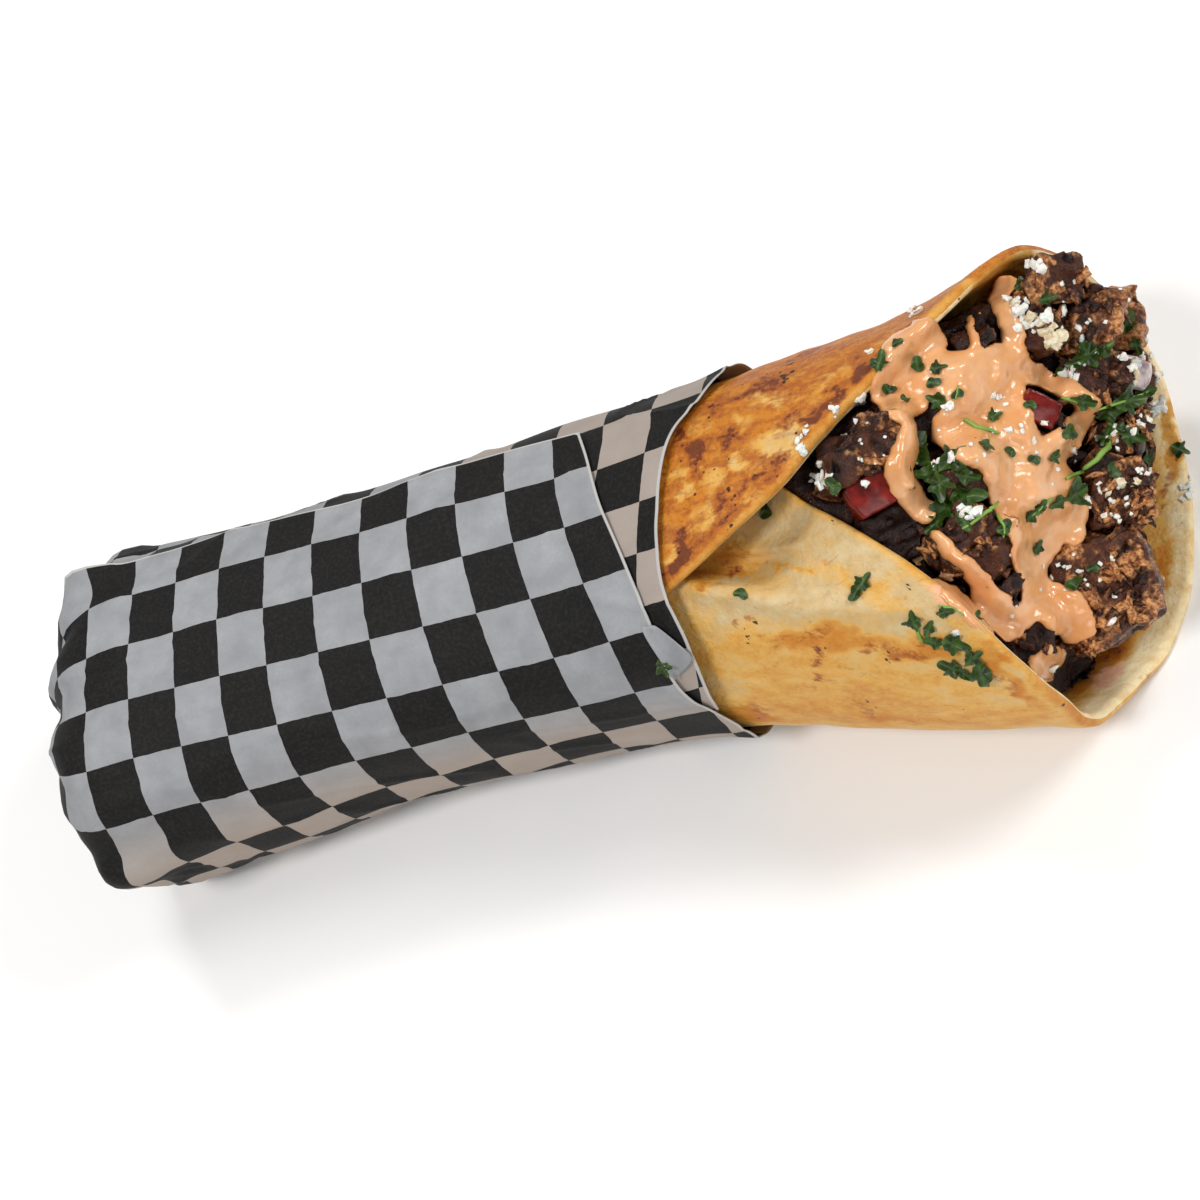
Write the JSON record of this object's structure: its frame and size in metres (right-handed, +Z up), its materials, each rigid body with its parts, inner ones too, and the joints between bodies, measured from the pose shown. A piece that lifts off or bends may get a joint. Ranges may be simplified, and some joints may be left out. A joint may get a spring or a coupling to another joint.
{
  "type": "shawarma wrap",
  "caption": "Shawarma wrap lying down: a griddled flatbread tube in checked deli paper, its flared mouth packed with diced meat, sauce and parsley.",
  "frame": {"origin": "centre of the footprint on the surface that the wrap lies on", "axes": "+X runs along the wrap from its folded end to its filled mouth, +Z is up, and the mouth faces up and towards -Y"},
  "size_m": [0.2428, 0.0906, 0.0742],
  "materials": {
    "bread": "floury baked crust with griddle browning",
    "paper": "thin deli paper printed with a black and white check",
    "filling": "packed shreds of grilled meat, moist",
    "meat": "charred and moist",
    "tomato": "wet cut flesh",
    "onion": "moist, translucent edges",
    "sauce": "thick glossy dressing",
    "parsley": "fresh leaf, faint sheen"
  },
  "bodies": {
    "root": {"flatbread": "bread", "paper_wrap": "paper", "packed_filling": "filling", "meat_01": "meat", "meat_02": "meat", "meat_03": "meat", "meat_04": "meat", "meat_05": "meat", "meat_06": "meat", "meat_07": "meat", "meat_08": "meat", "meat_09": "meat", "meat_10": "meat", "meat_11": "meat", "meat_12": "meat", "meat_13": "meat", "meat_14": "meat", "meat_15": "meat", "meat_16": "meat", "meat_17": "meat", "meat_18": "meat", "tomato_1": "tomato", "tomato_2": "tomato", "onion_1": "onion", "onion_2": "onion", "sauce": "sauce", "sauce_pool": "sauce", "sauce_drip": "sauce", "parsley_01": "parsley", "parsley_02": "parsley", "parsley_03": "parsley", "parsley_04": "parsley", "parsley_05": "parsley", "parsley_06": "parsley", "parsley_07": "parsley", "parsley_08": "parsley", "parsley_09": "parsley", "parsley_10": "parsley", "parsley_11": "parsley", "parsley_12": "parsley"}
  },
  "joints": []
}
